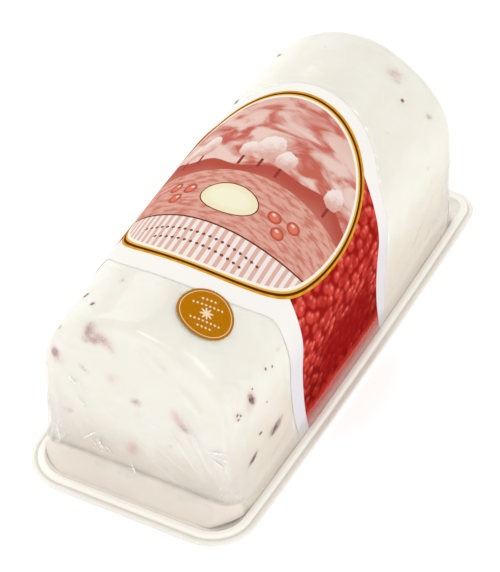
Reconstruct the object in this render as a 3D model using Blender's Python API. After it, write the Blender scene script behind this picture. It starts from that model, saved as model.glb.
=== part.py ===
"""Soft cheese log in a clear film wrap, with a printed band and an oval sticker, on a shallow thin tray.

Metres, +Z up. The origin is the middle of the tray's flat underside. +Y runs along the log, +X across it.
"""

import math

import bpy
import numpy as np

MM = 0.001
GAP = 0.3 * MM

# Log in its film
LOG_LENGTH = 172.9 * MM
LOG_HALF_WIDTH = 38.0 * MM
LOG_SIDE_BOW = 2.0 * MM
LOG_TOP = 80.6 * MM
LOG_TOP_BOW = 1.9 * MM
SPRING_HEIGHT = 45.0 * MM
SHOULDER_SLACK = 0.032
END_ROUNDING = 5.7 * MM
SIDE_FOOT_RADIUS = 13.0 * MM
END_FOOT_RADIUS = 16.0 * MM

# Film tents, where the wrap stands off the log at its four upright corners
TENT_ALONG = (0.82, 0.98)
TENT_ACROSS = (0.55, 0.92)
TENT_REACH = 2.2 * MM
TENT_PINCH = 1.4 * MM

# Printed band, in arc length from the crown line and in the log's length
BAND_HALF_ARC = 98.0 * MM
BAND_THICKNESS = 0.25 * MM
BAND_FRONT_CROWN = -61.0 * MM
BAND_FRONT_CURVE = 10.5
BAND_FRONT_SIDE = -48.8 * MM
BAND_FRONT_SIDE_ARC = 63.0 * MM
BAND_FRONT_SIDE_CURVE = 4.5
BAND_BACK_RADIUS = 49.8 * MM
BAND_BACK_CENTRE = -1.0 * MM
BAND_BACK_SIDE = 23.2 * MM
BAND_BACK_SIDE_ARC = 90.0 * MM
BAND_BACK_SIDE_CURVE = 2.4
BAND_CORNER_SOFTNESS = 3.0 * MM

# Oval sticker, its middle in arc length and in the log's length
STICKER_ARC = 17.8 * MM
STICKER_Y = -65.8 * MM
STICKER_HALF_LONG = 10.5 * MM
STICKER_HALF_SHORT = 9.4 * MM
STICKER_TURN = math.radians(20.0)
STICKER_THICKNESS = 0.15 * MM

# Tray
TRAY_HALF_WIDTH = 43.4 * MM
TRAY_HALF_LENGTH = 100.1 * MM
TRAY_SIDE_BOW = 1.5 * MM
TRAY_CORNER = 16.6 * MM
TRAY_CORNER_PRESSED = 10.0 * MM
TRAY_WALL = 0.6 * MM
RIM_HEIGHT = 3.6 * MM
LIP_HEIGHT = 2.3 * MM
LIP_WIDTH = 1.6 * MM
LIP_EASE = 0.3 * MM
GROOVE_DEPTH = 0.5 * MM
GROOVE_RUN = 0.4 * MM
BEAD_WIDTH = 3.4 * MM
BEAD_SHOULDER = 1.1 * MM
BEAD_EASE = 0.4 * MM
INNER_WALL_RUN = 1.5 * MM
LOG_BASE = TRAY_WALL + GAP

# Mesh fineness
ARCH_STEPS = 14
WALL_STEPS = 5
FOOT_HEIGHTS = (13.0, 10.0, 7.0, 4.5, 2.5, 1.2, 0.4, 0.0)
END_STEPS = 5
LENGTH_STEPS = 17
CAP_COLUMNS = 14
BAND_ARC_STEPS = 56
BAND_LENGTH_STEPS = 14
STICKER_RINGS = 3
STICKER_SPOKES = 28
CORNER_STEPS = 9
SIDE_STEPS = 12
SKIN_ARCH_STEPS = 120
SKIN_FOOT_STEPS = 40
SHARP_ANGLE = math.radians(40.0)
TANGENT_STEP = 0.5 * MM


def clear_scene():
    """Removes whatever the new file starts with."""
    for item in list(bpy.data.objects):
        bpy.data.objects.remove(item)


def make_material(name, colour, roughness):
    """A plain Principled material."""
    material = bpy.data.materials.new(name)
    material.use_nodes = True
    shader = material.node_tree.nodes["Principled BSDF"]
    shader.inputs["Base Color"].default_value = (*colour, 1.0)
    shader.inputs["Roughness"].default_value = roughness
    shader.inputs["Metallic"].default_value = 0.0
    return material


def make_object(name, vertices, faces, material):
    """One named object from points and faces, smooth but for its sharp edges."""
    mesh = bpy.data.meshes.new(name)
    mesh.from_pydata([tuple(v) for v in vertices], [], faces)
    mesh.validate()
    mesh.materials.append(material)
    mesh.shade_smooth()
    mesh.set_sharp_from_angle(angle=SHARP_ANGLE)
    item = bpy.data.objects.new(name, mesh)
    bpy.context.scene.collection.objects.link(item)
    return item


def smooth_step(value, low, high):
    """0 below low, 1 above high, and a smooth rise between them."""
    t = np.clip((value - low) / (high - low), 0.0, 1.0)
    return t * t * (3.0 - 2.0 * t)


def lengthwise_bow(y):
    """1 at the log's middle and 0 at its ends."""
    return 1.0 - (2.0 * y / LOG_LENGTH) ** 2


def half_width(y):
    return LOG_HALF_WIDTH + LOG_SIDE_BOW * lengthwise_bow(y)


def top_height(y):
    return LOG_TOP + LOG_TOP_BOW * lengthwise_bow(y)


def half_section(y, inset=0.0, arch_steps=ARCH_STEPS):
    """Right half of the log's section, crown first: an arch, a little slack at the shoulder, then a wall."""
    width = half_width(y) - inset
    rise = top_height(y) - inset - SPRING_HEIGHT
    turn = np.linspace(0.5 * np.pi, 0.0, arch_steps + 1)
    slack = 1.0 - SHOULDER_SLACK * np.sin(2.0 * turn) ** 2
    x = width * np.cos(turn) * slack
    z = SPRING_HEIGHT + rise * np.sin(turn) * slack
    x[0] = 0.0
    wall = np.linspace(SPRING_HEIGHT, LOG_BASE + END_FOOT_RADIUS, WALL_STEPS + 1)[1:]
    foot = LOG_BASE + np.array(FOOT_HEIGHTS) * MM
    low = np.concatenate([wall, foot])
    return np.concatenate([x, np.full(len(low), width)]), np.concatenate([z, low])


def foot_inset(height, radius):
    """How far a rounded bottom edge lies inside the wall above it."""
    share = np.clip(1.0 - height / radius, 0.0, 1.0)
    return radius * (1.0 - np.sqrt(1.0 - share**2))


def settle(points):
    """Rounds the bottom edges of the log, apart from the corners, where the film hangs down as a tent."""
    x, y, z = points.T
    width = half_width(y)
    half = 0.5 * LOG_LENGTH
    height = z - LOG_BASE
    corner = smooth_step(np.abs(x) / width, *TENT_ACROSS)
    corner = corner * smooth_step(np.abs(y) / half, *TENT_ALONG)
    hang = np.clip(1.0 - height / (SPRING_HEIGHT - LOG_BASE), 0.0, 1.0)
    side = (1.0 - corner) * foot_inset(height, SIDE_FOOT_RADIUS) + corner * hang * TENT_PINCH
    end = (1.0 - corner) * foot_inset(height, END_FOOT_RADIUS) - corner * hang * TENT_REACH
    return np.stack([x * (width - side) / width, y * (half - end) / half, z], axis=1)


def log_stations():
    """Places along the log with the inset of its section there: rounded ends, straight between them."""
    turn = np.linspace(0.5 * np.pi, 0.0, END_STEPS + 1)
    end_y = 0.5 * LOG_LENGTH - END_ROUNDING * (1.0 - np.sin(turn))
    end_inset = END_ROUNDING * (1.0 - np.cos(turn))
    middle = np.linspace(-1.0, 1.0, LENGTH_STEPS + 1)[1:-1] * end_y[-1]
    y = np.concatenate([-end_y, middle, end_y[::-1]])
    inset = np.concatenate([end_inset, np.zeros(len(middle)), end_inset[::-1]])
    return y, inset


def build_log(material):
    """The film-wrapped log: a skin of section rings, closed by a grid of rows at each end."""
    stations, insets = log_stations()
    rows = len(half_section(0.0)[0])
    columns = CAP_COLUMNS
    fractions = np.linspace(1.0, -1.0, columns + 1)
    loop = 2 * (rows - 1) + columns
    points = []
    for y, inset in zip(stations, insets):
        x, z = half_section(y, inset)
        right = np.stack([x, np.full(rows, y), z], axis=1)
        base = np.stack([x[-1] * fractions, np.full(columns + 1, y), np.full(columns + 1, z[-1])], axis=1)
        left = right[::-1] * (-1.0, 1.0, 1.0)
        points.append(np.concatenate([right, base[1:-1], left[:-1]]))
    faces = []
    for k in range(len(stations) - 1):
        for i in range(loop):
            j = (i + 1) % loop
            faces.append((k * loop + i, k * loop + j, (k + 1) * loop + j, (k + 1) * loop + i))
    total = len(stations) * loop
    for end in (0, len(stations) - 1):
        x, z = half_section(stations[end], insets[end])
        grid = np.zeros((rows, columns + 1), int)
        for r in range(1, rows):
            grid[r, 0] = end * loop + r
            grid[r, -1] = end * loop + (loop - r)
        grid[0, :] = end * loop
        grid[-1, 1:-1] = end * loop + (rows - 1) + np.arange(1, columns)
        inner = []
        for r in range(1, rows - 1):
            for c in range(1, columns):
                grid[r, c] = total + len(inner)
                inner.append((x[r] * fractions[c], stations[end], z[r]))
        points.append(np.array(inner))
        total += len(inner)
        for r in range(rows - 1):
            for c in range(columns):
                quad = [grid[r, c], grid[r, c + 1], grid[r + 1, c + 1], grid[r + 1, c]]
                quad = [int(v) for v in dict.fromkeys(quad)]
                faces.append(tuple(quad if end == 0 else quad[::-1]))
    return make_object("wrapped_cheese", settle(np.concatenate(points)), faces, material)


def skin_profile(y):
    """Right half of the film's section at one place, with its arc length from the crown line."""
    x, z = half_section(y, arch_steps=SKIN_ARCH_STEPS)
    keep = z > LOG_BASE + SIDE_FOOT_RADIUS
    turn = np.linspace(0.0, 0.5 * np.pi, SKIN_FOOT_STEPS)
    x = np.concatenate([x[keep], half_width(y) - SIDE_FOOT_RADIUS * (1.0 - np.cos(turn))])
    z = np.concatenate([z[keep], LOG_BASE + SIDE_FOOT_RADIUS * (1.0 - np.sin(turn))])
    return x, z, np.concatenate([[0.0], np.cumsum(np.hypot(np.diff(x), np.diff(z)))])


def skin_points(arcs, lengths, lift):
    """Points at an arc length from the crown line and a place along the log, lifted straight off the film."""
    points = []
    for arc, y in zip(arcs, lengths):
        x, z, along = skin_profile(y)
        side, here = math.copysign(1.0, arc), abs(arc)
        span = np.array([here - TANGENT_STEP, here + TANGENT_STEP])
        run = np.diff(np.interp(np.abs(span), along, x) * np.sign(span))[0]
        rise = np.diff(np.interp(np.abs(span), along, z))[0]
        size = math.hypot(run, rise)
        px = np.interp(here, along, x) - lift * rise / size
        pz = np.interp(here, along, z) + lift * run / size
        points.append((side * px, y, pz))
    return np.array(points)


def soft_max(a, b):
    """The larger of two curves, with the corner between them rounded."""
    return 0.5 * (a + b + np.sqrt((a - b) ** 2 + BAND_CORNER_SOFTNESS**2))


def band_front(arc):
    """Front edge of the band: a bulge over the crown, and a shallower lobe down each side."""
    crown = BAND_FRONT_CROWN + BAND_FRONT_CURVE * arc**2
    side = BAND_FRONT_SIDE + BAND_FRONT_SIDE_CURVE * (np.abs(arc) - BAND_FRONT_SIDE_ARC) ** 2
    return -soft_max(-crown, -side)


def band_back(arc):
    """Back edge of the band: part of a circle over the crown, then a nearly straight edge down each side."""
    crown = BAND_BACK_CENTRE + np.sqrt(np.maximum(BAND_BACK_RADIUS**2 - arc**2, 0.0))
    side = BAND_BACK_SIDE + BAND_BACK_SIDE_CURVE * (BAND_BACK_SIDE_ARC - np.abs(arc)) ** 2
    return soft_max(crown, side)


def build_band(material):
    """The printed band: one thin sheet laid over the film from one foot to the other."""
    arc = np.linspace(-BAND_HALF_ARC, BAND_HALF_ARC, BAND_ARC_STEPS + 1)
    share = np.linspace(0.0, 1.0, BAND_LENGTH_STEPS + 1)
    arcs = np.repeat(arc, len(share))
    lengths = (band_front(arc)[:, None] * (1.0 - share) + band_back(arc)[:, None] * share).ravel()
    inner = skin_points(arcs, lengths, GAP)
    outer = skin_points(arcs, lengths, GAP + BAND_THICKNESS)
    return make_object("label_band", *thin_sheet(inner, outer, len(arc), len(share)), material)


def thin_sheet(inner, outer, rows, columns):
    """Closes two grids of points into one thin solid."""
    size = rows * columns
    index = np.arange(size).reshape(rows, columns)
    faces = []
    for r in range(rows - 1):
        for c in range(columns - 1):
            quad = (index[r, c], index[r + 1, c], index[r + 1, c + 1], index[r, c + 1])
            faces.append(tuple(int(v) + size for v in quad))
            faces.append(tuple(int(v) for v in quad[::-1]))
    border = np.concatenate([index[0, :-1], index[:-1, -1], index[-1, :0:-1], index[:0:-1, 0]])
    for a, b in zip(border, np.roll(border, -1)):
        faces.append((int(b), int(a), int(a) + size, int(b) + size))
    return np.concatenate([inner, outer]), faces


def build_sticker(material):
    """The oval sticker: rings about its middle, laid over the film and the band's front edge."""
    lift = GAP + BAND_THICKNESS + GAP
    arcs, lengths = [STICKER_ARC], [STICKER_Y]
    for ring in range(1, STICKER_RINGS + 1):
        for spoke in range(STICKER_SPOKES):
            turn = 2.0 * math.pi * spoke / STICKER_SPOKES
            along = STICKER_HALF_LONG * math.cos(turn) * ring / STICKER_RINGS
            across = STICKER_HALF_SHORT * math.sin(turn) * ring / STICKER_RINGS
            arcs.append(STICKER_ARC + along * math.cos(STICKER_TURN) - across * math.sin(STICKER_TURN))
            lengths.append(STICKER_Y + along * math.sin(STICKER_TURN) + across * math.cos(STICKER_TURN))
    inner = skin_points(np.array(arcs), np.array(lengths), lift)
    outer = skin_points(np.array(arcs), np.array(lengths), lift + STICKER_THICKNESS)
    size = len(arcs)
    faces = []
    for spoke in range(STICKER_SPOKES):
        after = (spoke + 1) % STICKER_SPOKES
        faces.append((0, 1 + after, 1 + spoke))
        faces.append((size, size + 1 + spoke, size + 1 + after))
        for ring in range(STICKER_RINGS - 1):
            low, high = 1 + ring * STICKER_SPOKES, 1 + (ring + 1) * STICKER_SPOKES
            faces.append((low + spoke, low + after, high + after, high + spoke))
            faces.append(tuple(size + v for v in (low + spoke, high + spoke, high + after, low + after)))
        edge = 1 + (STICKER_RINGS - 1) * STICKER_SPOKES
        faces.append((edge + spoke, edge + after, size + edge + after, size + edge + spoke))
    return make_object("sticker", np.concatenate([inner, outer]), faces, material)


def tray_outline(inset):
    """Rounded rectangle with bowed long sides, a given distance in from the tray's edge."""
    a, b = TRAY_HALF_WIDTH - inset, TRAY_HALF_LENGTH - inset
    points = []
    for quarter, (sx, sy) in enumerate([(1, 1), (-1, 1), (-1, -1), (1, -1)]):
        corner = TRAY_CORNER_PRESSED if quarter == 0 else TRAY_CORNER
        radius = corner - inset
        for step in range(CORNER_STEPS):
            turn = 0.5 * math.pi * (quarter + step / (CORNER_STEPS - 1))
            x = sx * (a - radius) + radius * math.cos(turn)
            y = sy * (b - radius) + radius * math.sin(turn)
            points.append((x, y))
        if quarter in (1, 3):
            ends = np.array([points[-1], (points[-1][0], -points[-1][1])])
            for step in range(1, SIDE_STEPS):
                points.append(tuple(ends[0] + (ends[1] - ends[0]) * step / SIDE_STEPS))
    points = np.array(points)
    points[:, 0] *= 1.0 + TRAY_SIDE_BOW / TRAY_HALF_WIDTH * (1.0 - (points[:, 1] / TRAY_HALF_LENGTH) ** 2)
    return points


def tray_profile():
    """The tray wall as inset and height: over the top from the floor to the lip, and back underneath."""
    bead_out = LIP_WIDTH + GROOVE_RUN
    bead_in = bead_out + BEAD_WIDTH
    foot = bead_in + INNER_WALL_RUN
    groove = LIP_HEIGHT - GROOVE_DEPTH
    under_bead = RIM_HEIGHT - TRAY_WALL
    upper = [
        (foot + BEAD_EASE, TRAY_WALL),
        (foot, TRAY_WALL + LIP_EASE),
        (bead_in, RIM_HEIGHT - 2.0 * BEAD_EASE),
        (bead_in - 0.5 * BEAD_SHOULDER, RIM_HEIGHT - 0.5 * BEAD_EASE),
        (bead_in - BEAD_SHOULDER, RIM_HEIGHT),
        (bead_out + BEAD_SHOULDER, RIM_HEIGHT),
        (bead_out + BEAD_EASE, RIM_HEIGHT - BEAD_EASE),
        (bead_out, groove),
        (LIP_WIDTH - LIP_EASE, LIP_HEIGHT),
        (LIP_EASE, LIP_HEIGHT),
        (0.0, LIP_HEIGHT - LIP_EASE),
    ]
    lower = [
        (0.5 * LIP_EASE, LIP_HEIGHT - TRAY_WALL),
        (bead_out, groove - TRAY_WALL),
        (bead_out + BEAD_SHOULDER, under_bead),
        (bead_in - BEAD_SHOULDER, under_bead),
        (bead_in - BEAD_EASE, under_bead - 2.0 * BEAD_EASE),
        (foot, 0.0),
    ]
    return upper + lower


def build_tray(material):
    """The tray: a thin shell with a flat floor, a steep inner wall, a rounded bead, a groove and a lip."""
    profile = tray_profile()
    rings = [tray_outline(inset) for inset, _ in profile]
    loop = len(rings[0])
    points = np.concatenate([np.c_[ring, np.full(loop, height)] for ring, (_, height) in zip(rings, profile)])
    faces = [tuple(range(loop))]
    for k in range(len(profile) - 1):
        for i in range(loop):
            j = (i + 1) % loop
            faces.append((k * loop + i, (k + 1) * loop + i, (k + 1) * loop + j, k * loop + j))
    faces.append(tuple(range(len(profile) * loop - 1, (len(profile) - 1) * loop - 1, -1)))
    return make_object("tray", points, faces, material)


def build():
    clear_scene()
    root = bpy.data.objects.new("goat_cheese_pack", None)
    bpy.context.scene.collection.objects.link(root)
    parts = [
        build_tray(make_material("tray_plastic", (0.80, 0.75, 0.68), 0.15)),
        build_log(make_material("cheese_in_film", (0.90, 0.88, 0.80), 0.3)),
        build_band(make_material("label_print", (0.80, 0.35, 0.32), 0.25)),
        build_sticker(make_material("sticker_ochre", (0.58, 0.24, 0.01), 0.3)),
    ]
    for part in parts:
        part.parent = root


build()
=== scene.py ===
"""Looks of a cranberry goat cheese log: soft cheese in clear film, a printed band, an oval sticker and a thin tray.

Metres, +Z up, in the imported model's frame: +Y runs along the log to its far end, +X across it, z = 0 under the tray.
Every new surface is a grid of points worked out from two parameters, most of them an arc length or a turn
round the log's section and a place along it.
"""

import math

import bpy
import numpy as np
from mathutils import Matrix


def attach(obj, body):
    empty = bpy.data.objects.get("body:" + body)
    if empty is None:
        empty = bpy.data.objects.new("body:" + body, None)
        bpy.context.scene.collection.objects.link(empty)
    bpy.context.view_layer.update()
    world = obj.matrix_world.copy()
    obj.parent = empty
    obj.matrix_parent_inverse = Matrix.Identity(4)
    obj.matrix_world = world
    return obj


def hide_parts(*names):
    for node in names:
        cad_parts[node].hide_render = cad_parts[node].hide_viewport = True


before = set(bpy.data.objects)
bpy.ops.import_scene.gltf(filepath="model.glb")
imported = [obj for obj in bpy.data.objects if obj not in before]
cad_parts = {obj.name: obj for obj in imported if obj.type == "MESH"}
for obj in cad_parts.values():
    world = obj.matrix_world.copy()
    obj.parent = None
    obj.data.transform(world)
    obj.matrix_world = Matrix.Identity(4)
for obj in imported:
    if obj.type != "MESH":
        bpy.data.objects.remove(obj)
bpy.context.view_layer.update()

MM = 0.001
BODY = "root"

# Log in its film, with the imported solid's sizes
LOG_LENGTH = 172.9 * MM
LOG_HALF_WIDTH = 38.0 * MM
LOG_SIDE_BOW = 2.0 * MM
LOG_TOP = 80.6 * MM
LOG_TOP_BOW = 1.9 * MM
SPRING_HEIGHT = 45.0 * MM
SHOULDER_SLACK = 0.032
END_ROUNDING = 5.7 * MM
END_FOOT_RADIUS = 16.0 * MM
LOG_BASE = 0.9 * MM
CAP_CENTRE = 40.0 * MM
TENT_ALONG = (0.82, 0.98)
TENT_ACROSS = (0.55, 0.92)
TENT_REACH = (2.0 * MM, 0.6 * MM)
TENT_PINCH = (-1.2 * MM, 0.3 * MM)
TENT_FOOT = 1.5 * MM
SIDE_TUCK_HEIGHT = 13.0 * MM
SHOULDER_REACH = 0.9 * MM
SHOULDER_HEIGHT = 2.4 * MM
FOOT_SLOPE = 1.8
SIDE_FOOT = 0.6 * MM
CHEESE_INSIDE = 0.5 * MM
FILM_DEEPEST = -0.2 * MM
CHEESE_TENTS = 0.2
END_HAZE = 0.25
CHEESE_END_FOOT = 10.0 * MM
FILM_END_FOOT = 0.5 * MM
END_FLARE = 6.5 * MM
END_FLARE_HEIGHT = 10.0 * MM
FLARE_ACROSS = (0.78, 1.0)
FILM_UNDER_BAND = 0.24 * MM
CHEESE_UNDER_BAND = 0.72 * MM
CHEESE_UNDER_SKIRT = 0.65 * MM
FILM_SINK = 0.6 * MM

# The film stands off the foot of each side, over the band's ends, and is milky there
SKIRT_TOP = 13.0 * MM
SKIRT_FULL = 11.5 * MM
SKIRT_CLEAR = 12.4 * MM
SKIRT_MILKY = 5.4 * MM
SKIRT_LIFT = 0.55 * MM
SKIRT_HALF_LENGTH = 84.0 * MM
SKIRT_FADE = 9.0 * MM
END_MILK = 2.4
END_MILK_TOP = 12.0 * MM
END_MILK_FULL = 8.2 * MM

# Printed band, in arc length from the crown line and in the log's length
BAND_HALF_ARC = 102.0 * MM
BAND_LIFT = 0.28 * MM
BAND_THICKNESS = 0.06 * MM
BAND_FRONT_CROWN = -61.0 * MM
BAND_FRONT_CURVE = 10.5
BAND_FRONT_SIDE = -48.8 * MM
BAND_FRONT_SIDE_ARC = 63.0 * MM
BAND_FRONT_SIDE_CURVE = 4.5
BAND_BACK_RADIUS = 49.8 * MM
BAND_BACK_CENTRE = -1.0 * MM
BAND_BACK_SIDE = 23.2 * MM
BAND_BACK_SIDE_ARC = 90.0 * MM
BAND_BACK_SIDE_CURVE = 2.4
BAND_CORNER_SOFTNESS = 3.0 * MM
BAND_BUCKLE = 0.02 * MM

# Oval sticker
STICKER_ARC = 17.8 * MM
STICKER_Y = -65.8 * MM
STICKER_HALF_LONG = 10.5 * MM
STICKER_HALF_SHORT = 9.4 * MM
STICKER_TURN = math.radians(20.0)
STICKER_LIFT = 0.6 * MM
STICKER_STEP = 0.25 * MM
STICKER_THICKNESS = 0.08 * MM

# Tray
TRAY_HALF_WIDTH = 43.4 * MM
TRAY_HALF_LENGTH = 100.1 * MM
TRAY_SIDE_BOW = 1.5 * MM
TRAY_CORNER = 16.6 * MM
TRAY_CORNER_PRESSED = 10.0 * MM
TRAY_WALL = 0.6 * MM
RIM_HEIGHT = 3.6 * MM
LIP_HEIGHT = 2.3 * MM
LIP_WIDTH = 1.6 * MM
LIP_EASE = 0.3 * MM
GROOVE_DEPTH = 0.5 * MM
GROOVE_RUN = 0.4 * MM
BEAD_WIDTH = 3.4 * MM
BEAD_SHOULDER = 1.1 * MM
BEAD_EASE = 0.4 * MM
INNER_WALL_RUN = 3.4 * MM
FLOOR_RINGS = 14

# How much lighter than its own colour a flat print shows in the studio
STUDIO_LIFT = 1.25

# Camera, from the photograph: where it stands, its axes and its lens
CAMERA_PLACE = (0.402803, -0.726994, 0.840033)
CAMERA_RIGHT = (0.8825103, 0.4698778, -0.0197590)
CAMERA_UP = (-0.3166644, 0.6247625, 0.7137195)
CAMERA_BACK = (0.3477056, -0.6236078, 0.7001529)
CAMERA_LENS = 203.29
SENSOR = 36.0

# Soft folds in the film over the near end, each from (x, z) to (x, z) in mm, with its height and width in mm
END_FOLDS = [
    ((15.0, 53.0), (31.0, 18.0), 0.50, 2.0),
    ((11.0, 40.0), (27.0, 14.0), 0.40, 1.7),
    ((5.0, 27.0), (25.0, 16.0), 0.35, 1.5),
    ((-4.0, 25.0), (17.0, 28.5), 0.25, 1.4),
    ((33.0, 58.0), (35.5, 17.0), 0.45, 1.8),
    ((24.0, 36.0), (34.0, 33.0), 0.35, 1.4),
    ((-34.0, 46.0), (-30.0, 14.0), 0.40, 1.8),
    ((-30.0, 38.0), (-20.0, 12.0), 0.30, 1.6),
    ((-36.0, 40.0), (-35.0, 12.0), 0.30, 1.4),
    ((-8.0, 33.0), (-16.0, 9.0), 0.30, 1.6),
    ((3.0, 20.0), (20.0, 8.0), 0.35, 1.5),
    ((-28.0, 60.0), (-14.0, 63.0), 0.15, 1.5),
    ((2.0, 74.0), (14.0, 62.0), 0.40, 2.2),
    ((16.0, 62.0), (25.0, 50.0), 0.50, 2.2),
    ((-24.0, 30.0), (-4.0, 16.0), 0.25, 1.6),
]

# Soft folds down the right side near that end, each from (arc, y) to (arc, y) in mm
SIDE_FOLDS = [
    ((33.0, -83.0), (45.0, -74.0), 0.30, 1.6),
    ((37.0, -78.0), (47.0, -66.0), 0.20, 1.6),
    ((52.0, -84.0), (70.0, -78.0), 0.30, 1.5),
    ((60.0, -84.0), (86.0, -72.0), 0.30, 1.5),
    ((72.0, -84.0), (97.0, -66.0), 0.35, 1.6),
    ((84.0, -83.0), (104.0, -58.0), 0.35, 1.6),
    ((22.0, -79.0), (31.0, -72.0), 0.20, 1.6),
]

# Sharp crinkles on the near end, drawn milky white partly as painted highlights for the glints they catch: x and z of
# each end and half the width, in mm
CRINKLE_GLINTS = [
    (-26.8, 46.2, -23.2, 42.6, 0.26),
    (-26.0, 43.4, -22.8, 44.4, 0.18),
    (-25.2, 45.8, -24.6, 42.0, 0.16),
    (-23.8, 37.2, -20.2, 32.8, 0.24),
    (-32.8, 21.0, -31.4, 12.5, 0.24),
    (-22.4, 16.6, -16.2, 23.6, 0.24),
    (-17.6, 19.6, -13.6, 13.6, 0.22),
    (-16.0, 20.8, -15.2, 12.8, 0.18),
    (-18.2, 16.8, -11.6, 15.6, 0.18),
    (-13.6, 17.6, -10.4, 12.4, 0.16),
    (-19.6, 18.4, -16.8, 14.2, 0.15),
    (-3.8, 13.4, -1.4, 8.2, 0.26),
    (-4.8, 9.8, -2.0, 10.6, 0.18),
    (13.2, 35.8, 16.2, 32.8, 0.16),
    (27.6, 34.2, 35.6, 36.2, 0.34),
    (28.6, 31.4, 35.0, 28.2, 0.30),
    (30.4, 33.2, 35.8, 32.4, 0.22),
]
CRINKLE_LIFT = 0.08 * MM

# Berry spots on the near end: x, z, half length, half width (mm), turn (degrees), darkness, pinkness, bit of berry
END_SPOTS = [
    (-31.6, 54.3, 1.7, 1.3, 70, 0.85, 0.50, False),
    (-30.6, 51.8, 1.4, 1.1, 20, 0.10, 0.45, False),
    (-17.3, 71.2, 3.4, 1.7, 75, 0.55, 0.50, False),
    (-18.6, 66.6, 1.9, 1.4, 20, 0.40, 0.35, False),
    (-12.6, 69.6, 3.2, 1.8, -20, 0.38, 0.65, False),
    (-15.6, 67.8, 2.4, 1.5, 10, 0.50, 0.50, False),
    (-9.5, 67.6, 2.3, 1.3, -50, 0.25, 0.45, False),
    (-20.2, 51.9, 2.3, 1.2, -35, 0.35, 0.10, False),
    (-9.3, 52.0, 1.3, 0.9, 60, 0.15, 0.40, False),
    (-7.6, 53.8, 0.7, 0.5, 0, 0.15, 0.30, False),
    (-0.1, 44.8, 2.2, 1.7, 10, 0.42, 0.15, False),
    (16.4, 43.6, 3.0, 0.9, -62, 0.15, 0.65, False),
    (18.7, 40.6, 2.2, 1.3, -25, 0.50, 0.40, False),
    (-2.8, 20.4, 2.8, 1.1, 78, 0.20, 0.60, False),
    (-27.7, 28.0, 2.0, 1.4, 20, 0.35, 0.10, False),
    (12.3, 28.7, 1.5, 1.1, 0, 0.30, 0.05, False),
    (11.5, 66.4, 1.6, 0.9, -40, 0.25, 0.05, False),
]

# Berry spots on the top and sides: arc, y, half length, half width (mm), turn (degrees), darkness, pinkness, bit
SKIN_SPOTS = [
    (51.3, -72.6, 2.2, 1.2, 15, 0.80, 0.50, True),
    (53.0, -74.6, 1.8, 1.2, 0, 0.05, 0.45, False),
    (78.3, -58.6, 2.9, 1.6, 100, 1.00, 0.20, True),
    (77.2, -54.6, 1.6, 0.7, 100, 0.50, 0.15, False),
    (79.4, -74.0, 3.0, 0.95, 105, 0.82, 0.35, True),
    (50.2, -81.6, 0.7, 0.4, 90, 0.40, 0.30, True),
    (51.6, -80.2, 0.6, 0.5, 30, 0.40, 0.30, True),
    (52.2, -81.8, 0.6, 0.4, 60, 0.40, 0.30, True),
    (47.9, -60.9, 0.6, 0.5, 0, 0.70, 0.10, True),
    (49.8, -57.5, 0.5, 0.4, 0, 0.55, 0.10, True),
    (71.7, -68.6, 0.9, 0.5, 80, 0.70, 0.15, True),
    (48.3, -70.6, 0.5, 0.4, 0, 0.55, 0.10, True),
    (60.5, -64.0, 0.5, 0.4, 0, 0.45, 0.10, True),
    (47.0, -51.6, 1.3, 1.0, 90, 0.25, 0.05, False),
    (19.6, 74.9, 3.0, 2.0, 30, 0.30, 0.40, False),
    (21.8, 72.6, 1.5, 1.2, 0, 0.35, 0.25, False),
    (27.9, 67.4, 0.8, 0.7, 0, 0.60, 0.05, True),
    (40.2, 73.5, 1.4, 0.9, 45, 0.50, 0.10, False),
    (29.5, 54.5, 1.0, 0.8, 0, 0.20, 0.05, False),
    (30.9, 51.1, 1.1, 0.7, 0, 0.25, 0.05, False),
    (21.7, 48.9, 0.9, 0.7, 0, 0.20, 0.05, False),
    (55.5, 61.5, 2.0, 0.9, 60, 0.30, 0.05, False),
    (-9.0, 72.2, 0.8, 0.6, 0, 0.35, 0.05, False),
]
HIDDEN_SPOTS = 34
FAR_END_SPOTS = 12


def srgb(red, green, blue):
    """A colour given as screen values from 0 to 255, as the light values that shaders take."""
    share = np.array([red, green, blue]) / 255.0
    light = np.where(share <= 0.04045, share / 12.92, ((share + 0.055) / 1.055) ** 2.4)
    return tuple(float(v) for v in light)


def ink(red, green, blue):
    """A printed colour, given as it shows in the studio's light."""
    return tuple(v / STUDIO_LIFT for v in srgb(red, green, blue))


class Wire:
    """One socket of a paint, so that sums on it are written as sums and become Math nodes."""

    def __init__(self, paint, socket):
        self.paint = paint
        self.socket = socket

    def __add__(self, other):
        return self.paint.math("ADD", self, other)

    def __radd__(self, other):
        return self.paint.math("ADD", other, self)

    def __sub__(self, other):
        return self.paint.math("SUBTRACT", self, other)

    def __rsub__(self, other):
        return self.paint.math("SUBTRACT", other, self)

    def __mul__(self, other):
        return self.paint.math("MULTIPLY", self, other)

    def __rmul__(self, other):
        return self.paint.math("MULTIPLY", other, self)

    def __truediv__(self, other):
        return self.paint.math("DIVIDE", self, other)

    def __rtruediv__(self, other):
        return self.paint.math("DIVIDE", other, self)

    def __pow__(self, other):
        return self.paint.math("POWER", self, other)

    def __abs__(self):
        return self.paint.math("ABSOLUTE", self)

    def __neg__(self):
        return self.paint.math("SUBTRACT", 0.0, self)

    def root(self):
        return self.paint.math("SQRT", self)

    def sine(self):
        return self.paint.math("SINE", self)

    def least(self, other):
        return self.paint.math("MINIMUM", self, other)

    def most(self, other):
        return self.paint.math("MAXIMUM", self, other)

    def rise(self, low, high):
        """0 below low and 1 above high, with a smooth rise between; 1 to 0 where low is the larger."""
        settings = {"interpolation_type": "SMOOTHSTEP"}
        if low <= high:
            return self.paint.node("ShaderNodeMapRange", settings, {0: self, 1: low, 2: high})
        return self.paint.node("ShaderNodeMapRange", settings, {0: self, 1: high, 2: low, 3: 1.0, 4: 0.0})


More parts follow.
